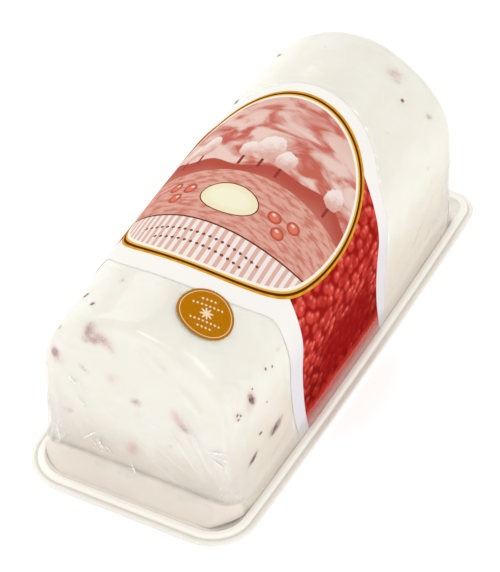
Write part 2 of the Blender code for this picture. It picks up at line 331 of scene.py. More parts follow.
class Paint:
    """A material in the making. Its surface is one Principled shader, alone or mixed with a see-through one."""

    def __init__(self, name):
        self.material = bpy.data.materials.new(name)
        self.material.use_nodes = True
        self.tree = self.material.node_tree
        self.tree.nodes.clear()

    def feed(self, socket, value):
        if isinstance(value, Wire):
            self.tree.links.new(value.socket, socket)
        elif isinstance(value, tuple) and socket.type == "RGBA":
            socket.default_value = (*value[:3], 1.0)
        else:
            socket.default_value = value

    def node(self, kind, settings=None, inputs=None, output=0):
        """Any node: its settings first, with a ramp's stops as (place, colour) pairs, then its inputs."""
        made = self.tree.nodes.new(kind)
        for key, value in (settings or {}).items():
            if key == "stops":
                for place, colour in value[1:-1]:
                    made.color_ramp.elements.new(place).color = (*colour, 1.0)
                for index, (place, colour) in ((0, value[0]), (-1, value[-1])):
                    made.color_ramp.elements[index].position = place
                    made.color_ramp.elements[index].color = (*colour, 1.0)
            else:
                setattr(made, key, value)
        for key, value in (inputs or {}).items():
            self.feed(made.inputs[key], value)
        return Wire(self, made.outputs[output]) if made.outputs else made

    def math(self, operation, first, second=0.0):
        return self.node("ShaderNodeMath", {"operation": operation}, {0: first, 1: second})

    def mix(self, share, under, over):
        """The colour under where share is 0, and over where it is 1."""
        return self.node("ShaderNodeMix", {"data_type": "RGBA"}, {0: share, 6: under, 7: over}, 2)

    def vector(self, x, y, z=0.0):
        return self.node("ShaderNodeCombineXYZ", None, {0: x, 1: y, 2: z})

    def parts(self, vector):
        return [self.node("ShaderNodeSeparateXYZ", None, {0: vector}, output) for output in range(3)]

    def place(self):
        return self.node("ShaderNodeTexCoord", None, None, 3)

    def attribute(self, name, output=2):
        return self.node("ShaderNodeAttribute", {"attribute_name": name}, None, output)

    def noise(self, place, size, detail=2.0, twist=0.0):
        """Soft noise from 0 to 1, its blotches about size across, in the units of place."""
        values = {"Vector": place, "Scale": 1.0 / size, "Detail": detail, "Distortion": twist}
        return self.node("ShaderNodeTexNoise", None, values)

    def bump(self, height, distance, strength=1.0):
        return self.node("ShaderNodeBump", None, {"Strength": strength, "Distance": distance, "Height": height})

    def finish(self, inputs, solid=None):
        """The Principled shader, and where solid is given, a mix of it with a clear one by that share."""
        shader = self.node("ShaderNodeBsdfPrincipled", None, inputs)
        if solid is not None:
            clear = self.node("ShaderNodeBsdfTransparent")
            shader = self.node("ShaderNodeMixShader", None, {0: solid, 1: clear, 2: shader})
        self.node("ShaderNodeOutputMaterial", None, {"Surface": shader})
        return self.material


def smooth_step(value, low, high):
    """0 below low, 1 above high, and a smooth rise between them."""
    t = np.clip((value - low) / (high - low), 0.0, 1.0)
    return t * t * (3.0 - 2.0 * t)


def soft_max(a, b, softness=BAND_CORNER_SOFTNESS):
    """The larger of two curves, with the corner between them rounded."""
    return 0.5 * (a + b + np.sqrt((a - b) ** 2 + softness**2))


def ripples(points, size, seed, waves=28):
    """Smooth noise of about -1 to 1: a sum of plane waves in random directions, each about size long."""
    rng = np.random.default_rng(seed)
    turn = rng.normal(size=(waves, 3))
    turn /= np.linalg.norm(turn, axis=1)[:, None]
    rate = 2.0 * np.pi / (size * rng.uniform(0.7, 1.5, waves))
    start = rng.uniform(0.0, 2.0 * np.pi, waves)
    flat = points.reshape(-1, 3)
    total = np.zeros(len(flat))
    for k in range(waves):
        total += np.cos(flat @ turn[k] * rate[k] + start[k])
    return (total * math.sqrt(2.0 / waves)).reshape(points.shape[:-1])


def grid_normals(grid, wrap):
    """Unit normals of a grid of points: the cross product of its steps across the columns and the rows."""
    if wrap:
        across = np.roll(grid, -1, axis=1) - np.roll(grid, 1, axis=1)
    else:
        across = np.gradient(grid, axis=1)
    normals = np.cross(across, np.gradient(grid, axis=0))
    size = np.linalg.norm(normals, axis=2, keepdims=True)
    return normals / np.maximum(size, 1e-15)


def grid_quads(rows, columns, wrap):
    """Four-sided faces between neighbouring rows; wrap joins the last column to the first."""
    index = np.arange(rows * columns).reshape(rows, columns)
    if wrap:
        index = np.concatenate([index, index[:, :1]], axis=1)
    corners = [index[:-1, :-1], index[:-1, 1:], index[1:, 1:], index[1:, :-1]]
    return np.stack(corners, axis=-1).reshape(-1, 4)


def make_piece(name, points, faces, material, replaced):
    """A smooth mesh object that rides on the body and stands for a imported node."""
    mesh = bpy.data.meshes.new(name)
    mesh.from_pydata(points.tolist(), [], faces)
    mesh.materials.append(material)
    mesh.shade_smooth()
    piece = bpy.data.objects.new(name, mesh)
    bpy.context.scene.collection.objects.link(piece)
    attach(piece, BODY)
    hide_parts(replaced)
    return piece


def closed_shell(grid):
    """Points and faces of a grid that goes round, its first and last rows each drawn together into one point."""
    rows, columns = grid.shape[:2]
    points = np.concatenate([grid[0, :1], grid[1:-1].reshape(-1, 3), grid[-1, :1]])
    faces = (grid_quads(rows - 2, columns, True) + 1).tolist()
    step = np.arange(columns)
    after = (step + 1) % columns
    first = np.stack([np.zeros(columns, int), after + 1, step + 1], axis=1)
    base = 1 + (rows - 3) * columns
    last = np.stack([base + step, base + after, np.full(columns, len(points) - 1)], axis=1)
    return points, faces + first.tolist() + last.tolist()


def add_values(piece, name, values, kind="FLOAT"):
    """Stores a number or a vector for each point of a piece, for its paint to read."""
    layer = piece.data.attributes.new(name, kind, "POINT")
    layer.data.foreach_set("value" if kind == "FLOAT" else "vector", np.asarray(values, np.float32).ravel())


def add_thickness(piece, thickness):
    """Gives a sheet its thickness, outwards from the points as they are."""
    wall = piece.modifiers.new("thickness", "SOLIDIFY")
    wall.thickness = thickness
    wall.offset = 1.0


def half_width(y, inside=0.0):
    """Half the log's width at y, bowed a little towards the middle of its length."""
    return LOG_HALF_WIDTH - inside + LOG_SIDE_BOW * (1.0 - (2.0 * y / LOG_LENGTH) ** 2)


def top_height(y, inside=0.0):
    """The log's height at y, bowed a little towards the middle of its length."""
    return LOG_TOP - inside + LOG_TOP_BOW * (1.0 - (2.0 * y / LOG_LENGTH) ** 2)


def foot_inset(height, radius):
    """How far a rounded bottom edge lies inside the wall above it."""
    share = np.clip(1.0 - height / radius, 0.0, 1.0)
    return radius * (1.0 - np.sqrt(1.0 - share**2))


def tray_edge(y, inset):
    """Half the tray's width at y, measured to a line that lies inside its edge."""
    return (TRAY_HALF_WIDTH - inset) * (1.0 + TRAY_SIDE_BOW / TRAY_HALF_WIDTH * (1.0 - (y / TRAY_HALF_LENGTH) ** 2))


def tray_middle(x, y):
    """Height of the middle of the tray's plastic at a place: along its floor, and up its wall to the bead."""
    across = np.abs(x) / (1.0 + TRAY_SIDE_BOW / TRAY_HALF_WIDTH * (1.0 - (y / TRAY_HALF_LENGTH) ** 2))
    radius = np.where((x > 0.0) & (y > 0.0), TRAY_CORNER_PRESSED, TRAY_CORNER)
    a = across - (TRAY_HALF_WIDTH - radius)
    b = np.abs(y) - (TRAY_HALF_LENGTH - radius)
    inset = radius - np.hypot(np.maximum(a, 0.0), np.maximum(b, 0.0)) - np.minimum(np.maximum(a, b), 0.0)
    bead_in = LIP_WIDTH + GROOVE_RUN + BEAD_WIDTH
    places = (bead_in - BEAD_SHOULDER, bead_in - 0.5 * BEAD_EASE, bead_in + INNER_WALL_RUN)
    tops = (RIM_HEIGHT, RIM_HEIGHT - 2.0 * BEAD_EASE, TRAY_WALL)
    return np.interp(inset, places, tops) - 0.5 * TRAY_WALL


def side_inset(above, y):
    """How far the side lies inside the wall above it: a slow tuck, so that the film over it rests on the shoulder of
    the tray's bead, then a slope that goes in with the tray's wall, and a rounded bottom edge."""
    shoulder = tray_edge(y, LIP_WIDTH + GROOVE_RUN + BEAD_WIDTH) + SHOULDER_REACH
    share = np.clip(1.0 - above / SIDE_TUCK_HEIGHT, 0.0, 1.0) / (1.0 - SHOULDER_HEIGHT / SIDE_TUCK_HEIGHT)
    tuck = (half_width(y) + SKIRT_LIFT - shoulder) * np.minimum(share, 1.0) ** 2
    return tuck + FOOT_SLOPE * np.maximum(SHOULDER_HEIGHT - above, 0.0) + foot_inset(above, SIDE_FOOT)


def skirt_shares(grid):
    """Along the foot of the sides: how far the film is out on the bead, and how milky it is, each from 0 to 1."""
    y, height = grid[..., 1], grid[..., 2]
    along = smooth_step(-np.abs(y), -SKIRT_HALF_LENGTH, SKIRT_FADE - SKIRT_HALF_LENGTH)
    along = along * smooth_step(np.abs(grid[..., 0]) / half_width(y), 0.82, 0.92)
    return along * smooth_step(-height, -SKIRT_TOP, -SKIRT_FULL), along * smooth_step(-height, -SKIRT_CLEAR, -SKIRT_MILKY)


def arch_factors(turn):
    """Across and upward shares of the arch at a turn from the side (0) to the crown: an ellipse, slack at 45 degrees."""
    slack = 1.0 - SHOULDER_SLACK * np.sin(2.0 * turn) ** 2
    return np.cos(turn) * slack, np.sin(turn) * slack


def section_loop(arch, wall, foot, base):
    """Once round the section from the crown down the right: share of the half width, share of the rise, height."""
    turn = np.linspace(0.5 * np.pi, 0.0, arch + 1)
    across, rise = arch_factors(turn)
    across[0] = 0.0
    wall_z = np.linspace(SPRING_HEIGHT, LOG_BASE + END_FOOT_RADIUS, wall + 1)[1:]
    foot_z = LOG_BASE + END_FOOT_RADIUS * np.linspace(1.0, 0.0, foot + 1)[1:] ** 1.5
    low = np.concatenate([wall_z, foot_z])
    flat = np.linspace(1.0, 0.0, base + 1)[1:]
    across = np.concatenate([across, np.ones(len(low)), flat])
    rise = np.concatenate([rise, np.zeros(len(low) + base)])
    height = np.concatenate([np.full(arch + 1, SPRING_HEIGHT), low, np.full(base, LOG_BASE)])
    mirror = slice(-2, 0, -1)
    return (
        np.concatenate([across, -across[mirror]]),
        np.concatenate([rise, rise[mirror]]),
        np.concatenate([height, height[mirror]]),
    )


def stations(cap, edge, near, middle, inside):
    """Rows from one end's middle to the other's: place along the log, inset of the section, and its size there."""
    half = 0.5 * LOG_LENGTH - inside
    turn = np.linspace(0.5 * np.pi, 0.0, edge + 1)
    edge_y = -half + END_ROUNDING * (1.0 - np.sin(turn))
    edge_inset = END_ROUNDING * (1.0 - np.cos(turn))
    open_y = np.linspace(edge_y[-1], -50.0 * MM, near + 1)[1:]
    side_y = np.concatenate([edge_y, open_y])
    side_inset = np.concatenate([edge_inset, np.zeros(near)])
    centre = np.linspace(side_y[-1], -side_y[-1], middle + 1)[1:-1]
    y = np.concatenate([np.full(cap, -half), side_y, centre, -side_y[::-1], np.full(cap, half)])
    inset = np.concatenate([np.full(cap, END_ROUNDING), side_inset, 0.0 * centre, side_inset[::-1], np.full(cap, END_ROUNDING)])
    shrink = np.linspace(0.0, 1.0, cap + 1)[:-1]
    size = np.concatenate([shrink, np.ones(len(side_y) * 2 + len(centre)), shrink[::-1]])
    return y, inset, size


def log_grid(loop, rows, inside, tents, end_radius, flare):
    """The log as a grid. Each row is its section, inset at the rounded ends and shrunk towards a point on the end
    faces. Then the bottom edges are rounded by a quarter circle, less so at the four upright corners where tents is
    1, because the film hangs down there and reaches outwards, more at the left than at the right."""
    across, rise, height = loop
    y, inset, size = (value[:, None] for value in rows)
    width = half_width(y, inside) - inset
    lift = top_height(y, inside) - inset - SPRING_HEIGHT
    x = size * width * across
    z = CAP_CENTRE + size * (height + lift * rise - CAP_CENTRE)
    y = y + 0.0 * x
    above = z - LOG_BASE
    half = 0.5 * LOG_LENGTH
    edge = half_width(y, inside)
    corner = tents * smooth_step(np.abs(x) / edge, *TENT_ACROSS) * smooth_step(np.abs(y) / half, *TENT_ALONG)
    hang = np.clip(1.0 - above / (SPRING_HEIGHT - LOG_BASE), 0.0, 1.0)
    left = 1.0 - smooth_step(x, -10.0 * MM, 10.0 * MM)
    pinch = TENT_PINCH[1] + (TENT_PINCH[0] - TENT_PINCH[1]) * left
    reach = TENT_REACH[1] + (TENT_REACH[0] - TENT_REACH[1]) * left
    sweep = flare * np.clip(1.0 - above / END_FLARE_HEIGHT, 0.0, 1.0) ** 2.2
    sweep = sweep * (1.0 - smooth_step(np.abs(x) / edge, *FLARE_ACROSS))
    side = side_inset(above, y) + corner * hang * pinch
    end = (1.0 - corner) * foot_inset(above, end_radius) - sweep
    end = end + corner * (foot_inset(above, TENT_FOOT) - hang * reach)
    return np.stack([x * (edge - side) / edge, y * (half - end) / half, z], axis=2)


class Skin:
    """The film's surface by arc length from the crown line, right side positive, and place along the log.

    A table of sections holds x and z at even steps of both, and points between are read from it in straight
    proportion.
    """

    def __init__(self, steps=560, places=181):
        self.y = np.linspace(-0.5 * LOG_LENGTH, 0.5 * LOG_LENGTH, places)
        self.arc = np.linspace(0.0, 125.0 * MM, steps)
        across, rise = arch_factors(np.linspace(0.5 * np.pi, 0.0, 400))
        across[0] = 0.0
        wall = np.linspace(SPRING_HEIGHT, LOG_BASE, 300)[1:]
        self.x, self.z = np.zeros((2, places, steps))
        for k, y in enumerate(self.y):
            width = half_width(y)
            inset = side_inset(wall - LOG_BASE, y)
            x = np.concatenate([width * across, width - inset, [0.0]])
            z = np.concatenate([SPRING_HEIGHT + (top_height(y) - SPRING_HEIGHT) * rise, wall, [LOG_BASE]])
            along = np.concatenate([[0.0], np.cumsum(np.hypot(np.diff(x), np.diff(z)))])
            self.x[k] = np.interp(self.arc, along, x)
            self.z[k] = np.interp(self.arc, along, z)

    def flat(self, arc, y):
        """Points on the surface itself."""
        row = np.clip((y - self.y[0]) / (self.y[1] - self.y[0]), 0.0, len(self.y) - 1.001)
        column = np.clip(np.abs(arc) / self.arc[1], 0.0, len(self.arc) - 1.001)
        r, c = row.astype(int), column.astype(int)
        fr, fc = row - r, column - c
        corners = [(0, 0, (1 - fr) * (1 - fc)), (0, 1, (1 - fr) * fc), (1, 0, fr * (1 - fc)), (1, 1, fr * fc)]
        x = sum(self.x[r + i, c + j] * share for i, j, share in corners)
        z = sum(self.z[r + i, c + j] * share for i, j, share in corners)
        return np.stack([np.sign(arc) * x, y, z], axis=-1)

    def frame(self, arc, y):
        """Points with their directions round the log, along it and outwards."""
        step = 0.6 * MM
        here = self.flat(arc, y)
        round_it = self.flat(arc + step, y) - self.flat(arc - step, y)
        along = self.flat(arc, y + step) - self.flat(arc, y - step)
        round_it /= np.linalg.norm(round_it, axis=-1, keepdims=True)
        along /= np.linalg.norm(along, axis=-1, keepdims=True)
        return here, round_it, along, np.cross(round_it, along)

    def lifted(self, arc, y, lift):
        """Points lifted straight off the surface."""
        here, _, _, out = self.frame(arc, y)
        return here + out * np.asarray(lift)[..., None]


def band_front(arc):
    """Front edge of the band: a bulge over the crown, and a shallower lobe down each side."""
    crown = BAND_FRONT_CROWN + BAND_FRONT_CURVE * arc**2
    side = BAND_FRONT_SIDE + BAND_FRONT_SIDE_CURVE * (np.abs(arc) - BAND_FRONT_SIDE_ARC) ** 2
    return -soft_max(-crown, -side)


def band_back(arc):
    """Back edge of the band: part of a circle over the crown, then a nearly straight edge down each side."""
    crown = BAND_BACK_CENTRE + np.sqrt(np.maximum(BAND_BACK_RADIUS**2 - arc**2, 0.0))
    side = BAND_BACK_SIDE + BAND_BACK_SIDE_CURVE * (BAND_BACK_SIDE_ARC - np.abs(arc)) ** 2
    return soft_max(crown, side)


def spot_frames(skin):
    """Every berry spot as its middle, its two directions on the surface, outwards, sizes, darkness, pinkness, bit."""
    rng = np.random.default_rng(11)
    spots = [(*spot, -1.0) for spot in END_SPOTS] + [(*spot, 0.0) for spot in SKIN_SPOTS]
    for _ in range(HIDDEN_SPOTS):
        arc = rng.uniform(-112.0, -14.0)
        y = rng.choice([rng.uniform(-82.0, -52.0), rng.uniform(40.0, 82.0)])
        long = rng.uniform(0.5, 2.6)
        spots.append((arc, y, long, long * rng.uniform(0.35, 0.8), rng.uniform(0, 180), rng.uniform(0.3, 0.9),
                      rng.uniform(0.1, 0.5), rng.random() < 0.5, 0.0))
    for _ in range(FAR_END_SPOTS):
        x, z = rng.uniform(-32.0, 32.0), rng.uniform(18.0, 70.0)
        long = rng.uniform(0.8, 2.8)
        spots.append((x, z, long, long * rng.uniform(0.4, 0.8), rng.uniform(0, 180), rng.uniform(0.3, 0.8),
                      rng.uniform(0.1, 0.5), rng.random() < 0.5, 1.0))
    frames = []
    for a, b, long, short, turn, dark, pink, bit, end in spots:
        if end:
            here = np.array([a * MM, end * (0.5 * LOG_LENGTH - CHEESE_INSIDE), b * MM])
            first, second = np.array([1.0, 0.0, 0.0]), np.array([0.0, 0.0, 1.0])
            out = np.array([0.0, end, 0.0])
        else:
            here, first, second, out = skin.frame(np.array(a * MM), np.array(b * MM))
            here = here - CHEESE_INSIDE * out
        c, s = math.cos(math.radians(turn)), math.sin(math.radians(turn))
        frames.append((here, c * first + s * second, c * second - s * first, out, long * MM, short * MM, dark, pink, bit))
    return frames


def build_cheese(loop, rows, spots, paint):
    """The soft cheese: the log a little inside its film, with shallow dents, and the depth of each berry stain."""
    grid = log_grid(loop, rows, CHEESE_INSIDE, CHEESE_TENTS, CHEESE_END_FOOT, 0.0)
    dents = 0.10 * MM * ripples(grid, 22.0 * MM, 3) + 0.03 * MM * ripples(grid, 5.0 * MM, 4)
    under = under_band(grid)
    rise = dents * (1.0 - under) + CHEESE_UNDER_BAND * under + CHEESE_UNDER_SKIRT * (1.0 - under) * skirt_shares(grid)[0]
    grid = grid + grid_normals(grid, True) * rise[..., None]
    grid[..., 2] = np.maximum(grid[..., 2], LOG_BASE)
    points, faces = closed_shell(grid)
    dark, pink = np.zeros((2, len(points)))
    for here, first, second, out, long, short, depth, blush, _ in spots:
        offset = points - here
        a, b, c = offset @ first, offset @ second, offset @ out
        reach = (a / long) ** 2 + (b / short) ** 2 + (c / (2.0 * MM)) ** 2
        halo = (a / (long + 1.2 * MM)) ** 2 + (b / (short + 1.2 * MM)) ** 2 + (c / (2.0 * MM)) ** 2
        dark = np.maximum(dark, depth * np.exp(-0.5 * reach))
        pink = np.maximum(pink, blush * np.exp(-0.6 * halo))
    piece = make_piece("cheese", points, faces, paint, "wrapped_cheese")
    add_values(piece, "stain_dark", dark)
    add_values(piece, "stain_pink", pink)
    return piece


def build_berry_bits(spots, paint):
    """Scraps of berry at the cheese's surface: flattened balls with a lumpy radius, by longitude and latitude."""
    rows, columns = 11, 16
    latitude = np.linspace(-0.5 * np.pi, 0.5 * np.pi, rows)[:, None]
    longitude = np.linspace(0.0, 2.0 * np.pi, columns, endpoint=False)[None, :]
    ball = np.stack(
        [np.cos(latitude) * np.cos(longitude), np.cos(latitude) * np.sin(longitude), np.sin(latitude) + 0.0 * longitude],
        axis=2,
    )
    all_points, all_faces, all_depths, start = [], [], [], 0
    for number, (here, first, second, out, long, short, depth, _, bit) in enumerate(spots):
        if not bit:
            continue
        lump = ball * (0.8 + 0.22 * ripples(ball + number, 1.3, number))[..., None]
        flat = min(0.45 * MM, 0.6 * short)
        grid = here + lump[..., :1] * long * first + lump[..., 1:2] * short * second
        grid = grid + lump[..., 2:] * flat * out
        points, faces = closed_shell(grid)
        all_points.append(points)
        all_faces += [[v + start for v in face] for face in faces]
        all_depths += [depth] * len(points)
        start += len(points)
    piece = make_piece("berry_bits", np.concatenate(all_points), all_faces, paint, "wrapped_cheese")
    add_values(piece, "depth", all_depths)


def film_folds(skin, grid, normals, free):
    """Every fold as its two ends, height and width: the ones seen, and seeded ones that fan from the corners."""
    front = -0.5 * LOG_LENGTH
    folds = []
    for (x1, z1), (x2, z2), height, width in END_FOLDS:
        ends = np.array([[x1 * MM, front, z1 * MM], [x2 * MM, front, z2 * MM]])
        folds.append((*ends, height * MM, width * MM))
    for (a1, y1), (a2, y2), height, width in SIDE_FOLDS:
        ends = skin.flat(np.array([a1, a2]) * MM, np.array([y1, y2]) * MM)
        folds.append((*ends, height * MM, width * MM))
    rng = np.random.default_rng(5)
    for side in (-1.0, 1.0):
        for end in (-1.0, 1.0):
            seen = side > 0.0 > end
            for _ in range(3 if seen else 10):
                foot = np.array([side * 36.0, end * 88.0, 5.0]) * MM
                turn, reach = rng.uniform(0.15, 1.45), rng.uniform(14.0, 42.0) * MM
                start = rng.uniform(0.15, 0.5)
                if rng.random() < 0.5:
                    way = np.array([-side * math.cos(turn), 0.0, math.sin(turn)])
                else:
                    way = np.array([0.0, -end * math.cos(turn), math.sin(turn)])
                    foot[0], foot[1] = side * 38.6 * MM, end * 84.0 * MM
                height, width = rng.uniform(0.15, 0.40), rng.uniform(1.2, 1.9)
                folds.append((foot + start * reach * way, foot + reach * way, height * MM, width * MM))
    loose = np.argwhere((free > 0.9) & (grid[..., 2] > 4.0 * MM) & (np.linalg.norm(normals, axis=2) > 0.5))
    for _ in range(60):
        row, column = loose[rng.integers(len(loose))]
        here, out = grid[row, column], normals[row, column]
        way = np.cross(out, rng.normal(size=3))
        way /= np.linalg.norm(way)
        low = 1.0 - smooth_step(here[2], 20.0 * MM, 60.0 * MM)
        reach = rng.uniform(2.0, 6.0) * MM
        height = rng.uniform(0.04, 0.10) + 0.12 * low
        folds.append((here - reach * way, here + reach * way, height * MM, rng.uniform(1.2, 1.8) * MM))
    return folds


def fold_lift(points, folds):
    """How far the film is raised at each point: a rounded ridge along each fold, with a shallow dip beside it."""
    total = np.zeros(len(points))
    for start, end, height, width in folds:
        way = end - start
        size = np.linalg.norm(way)
        offset = points - start
        near = np.flatnonzero(np.abs(offset - 0.5 * way).max(axis=1) < 0.5 * size + 5.0 * width)
        share = offset[near] @ way / size**2
        gap = np.linalg.norm(offset[near] - np.clip(share, 0.0, 1.0)[:, None] * way, axis=1)
        fade = smooth_step(share, -0.05, 0.3) * smooth_step(share, 1.05, 0.7)
        total[near] += height * fade * (np.exp(-((gap / width) ** 2)) - 0.45 * np.exp(-((gap / (2.3 * width)) ** 2)))
    return total


def under_band(grid):
    """1 where the band covers a grid of points on the log, 0 a little way outside its front and back edges."""
    middle = grid[len(grid) // 2]
    arc = np.concatenate([[0.0], np.cumsum(np.linalg.norm(np.diff(middle, axis=0), axis=1))])
    arc = np.minimum(arc, arc[-1] - arc)[None, :]
    y = grid[..., 1]
    front, back = band_front(arc), band_back(arc)
    return smooth_step(y, front - 4.0 * MM, front - 1.0 * MM) * smooth_step(-y, -back - 4.0 * MM, -back - 1.0 * MM)


def build_film(skin, loop, rows, paint):
    """The clear film round the log: the log's own grid with its tents, gentle slackness and creases, flat under
    the band."""
    grid = log_grid(loop, rows, 0.0, 1.0, FILM_END_FOOT, END_FLARE)
    normals = grid_normals(grid, True)
    y = grid[..., 1]
    free = 1.0 - under_band(grid)
    low = 1.0 - smooth_step(grid[..., 2], 8.0 * MM, 60.0 * MM)
    tense = 0.25 + 0.75 * low
    slack = 0.22 * MM * ripples(grid, 17.0 * MM, 8) + 0.07 * MM * ripples(grid, 6.0 * MM, 9)
    folds = film_folds(skin, grid, normals, free)
    lift = fold_lift(grid.reshape(-1, 3), folds).reshape(free.shape)
    rise = free * (slack * tense + lift)
    rise = np.maximum(rise, FILM_DEEPEST)
    skirt, milky = skirt_shares(grid)
    end_foot = smooth_step(np.abs(y), 79.0 * MM, 85.0 * MM) * smooth_step(-grid[..., 2], -END_MILK_TOP, -END_MILK_FULL)
    milky = np.maximum(milky, END_MILK * end_foot)
    rise = (1.0 - skirt) * (rise + (1.0 - free) * FILM_UNDER_BAND) + skirt * SKIRT_LIFT
    grid = grid + normals * rise[..., None]
    sink = FILM_SINK * np.clip(1.0 - (grid[..., 2] - LOG_BASE) / (4.0 * MM), 0.0, 1.0)
    grid[..., 2] = np.maximum(grid[..., 2] - sink, tray_middle(grid[..., 0], y))
    points, faces = closed_shell(grid)
    piece = make_piece("film", points, faces, paint, "wrapped_cheese")
    columns = grid.shape[1]
    tent = smooth_step(np.abs(grid[..., 0]) / half_width(y), 0.45, 0.95) * smooth_step(np.abs(y), 66.0 * MM, 86.0 * MM)
    foot = foot_inset(grid[..., 2] - LOG_BASE, CHEESE_END_FOOT) / CHEESE_END_FOOT
    gap = np.maximum(tent * low, np.sqrt(foot) * smooth_step(np.abs(y), 76.0 * MM, 84.0 * MM))
    gap = np.maximum(gap, END_HAZE * smooth_step(np.abs(y), 80.0 * MM, 86.0 * MM))
    ridge = np.clip(lift / (0.35 * MM), 0.0, 1.0) * free
    for name, value in (("fold", ridge), ("stand_off", gap), ("milky", milky)):
        flat = value.reshape(-1)
        add_values(piece, name, np.concatenate([flat[:1], flat[columns:-columns], flat[-1:]]))
    return grid


def build_crinkles(film_grid, paint):
    """Sharp crinkles on the near end: spindles by share of the length and turn about it, laid on the film."""
    near = film_grid[(film_grid[..., 1] < -70.0 * MM) & (film_grid[..., 2] > 1.5 * MM)]
    share = np.linspace(0.0, 1.0, 13)
    turn = np.linspace(0.0, 2.0 * np.pi, 8, endpoint=False)
    swell = np.sin(np.pi * share) ** 0.8
    all_points, all_faces, start = [], [], 0
    for x1, z1, x2, z2, half in CRINKLE_GLINTS:
        x = (x1 + (x2 - x1) * share) * MM
        z = (z1 + (z2 - z1) * share) * MM
        gap = np.hypot(near[:, 0] - x[:, None], near[:, 2] - z[:, None])
        line = np.stack([x, near[gap.argmin(axis=1), 1] - CRINKLE_LIFT, z], axis=1)
        line[:, 1] = np.polyval(np.polyfit(share, line[:, 1], 2), share)
        along = np.array([x2 - x1, 0.0, z2 - z1])
        along /= np.linalg.norm(along)
        across = np.array([along[2], 0.0, -along[0]])
        width = (1.35 * half * MM * swell)[:, None, None]
        ring = np.cos(turn)[None, :, None] * across + 0.3 * np.sin(turn)[None, :, None] * np.array([0.0, -1.0, 0.0])
        points, faces = closed_shell(line[:, None, :] + width * ring)
        all_points.append(points)
        all_faces += [[v + start for v in face] for face in faces]
        start += len(points)
    return make_piece("film_crinkles", np.concatenate(all_points), all_faces, paint, "wrapped_cheese")


def build_band(skin, paint):
    """The printed band: arc length by share of the way from its front edge to its back, lifted off the film."""
    arc = np.linspace(-BAND_HALF_ARC, BAND_HALF_ARC, 225)[None, :]
    share = np.linspace(0.0, 1.0, 105)[:, None]
    y = band_front(arc) * (1.0 - share) + band_back(arc) * share
    arc = arc + 0.0 * y
    flat = np.stack([arc, y, 0.0 * y], axis=2)
    lift = BAND_LIFT + BAND_BUCKLE * (1.0 + ripples(flat, 16.0 * MM, 21))
    grid = skin.lifted(arc, y, lift)
    piece = make_piece("band", grid.reshape(-1, 3), grid_quads(105, 225, False).tolist(), paint, "label_band")
    add_values(piece, "sheet", flat / MM, "FLOAT_VECTOR")
    add_thickness(piece, BAND_THICKNESS)
    return piece


def build_sticker(skin, paint):
    """The oval sticker: share of the radius by turn about its middle, laid over the film and the band's edge."""
    share = np.linspace(0.0, 1.0, 13)[1:, None]
    turn = np.linspace(0.0, 2.0 * np.pi, 64, endpoint=False)[None, :]
    along = STICKER_HALF_LONG * share * np.cos(turn)
    across = STICKER_HALF_SHORT * share * np.sin(turn)
    along, across = (np.concatenate([[0.0], value.ravel()]) for value in (along, across))
    arc = STICKER_ARC + along * math.cos(STICKER_TURN) - across * math.sin(STICKER_TURN)
    y = STICKER_Y + along * math.sin(STICKER_TURN) + across * math.cos(STICKER_TURN)
    step_up = smooth_step(y - band_front(arc), -2.5 * MM, -0.5 * MM)
    points = skin.lifted(arc, y, STICKER_LIFT - (1.0 - step_up) * STICKER_STEP)
    quads = (grid_quads(12, 64, True)[:, ::-1] + 1).tolist()
    step = np.arange(64)
    fan = np.stack([np.zeros(64, int), step + 1, (step + 1) % 64 + 1], axis=1).tolist()
    piece = make_piece("sticker_disc", points, quads + fan, paint, "sticker")
    add_values(piece, "sheet", np.stack([along, across, 0.0 * along], axis=1) / MM, "FLOAT_VECTOR")
    add_thickness(piece, STICKER_THICKNESS)
    return piece


def tray_outline(inset):
    """Rounded rectangle with bowed long sides, a given distance in from the tray's edge."""
    a, b = TRAY_HALF_WIDTH - inset, TRAY_HALF_LENGTH - inset
    runs = []
    for quarter, (sx, sy) in enumerate([(1, 1), (-1, 1), (-1, -1), (1, -1)]):
        radius = (TRAY_CORNER_PRESSED if quarter == 0 else TRAY_CORNER) - inset
        turn = 0.5 * np.pi * (quarter + np.linspace(0.0, 1.0, 25))
        runs.append(np.stack([sx * (a - radius) + radius * np.cos(turn), sy * (b - radius) + radius * np.sin(turn)], axis=1))
    points = []
    for quarter, run in enumerate(runs):
        after = runs[(quarter + 1) % 4][0]
        steps = 60 if quarter % 2 else 20
        share = np.linspace(0.0, 1.0, steps + 1)[1:-1, None]
        points += [run, run[-1] * (1.0 - share) + after * share]
    points = np.concatenate(points)
    points[:, 0] *= 1.0 + TRAY_SIDE_BOW / TRAY_HALF_WIDTH * (1.0 - (points[:, 1] / TRAY_HALF_LENGTH) ** 2)
    return points


def rounded(line, times):
    """A line of points with its corners cut at a quarter of each side, again and again, its ends kept."""
    for _ in range(times):
        a, b = line[:-1], line[1:]
        cut = np.stack([0.75 * a + 0.25 * b, 0.25 * a + 0.75 * b], axis=1).reshape(-1, 2)
        line = np.concatenate([line[:1], cut[1:-1], line[-1:]])
    return line


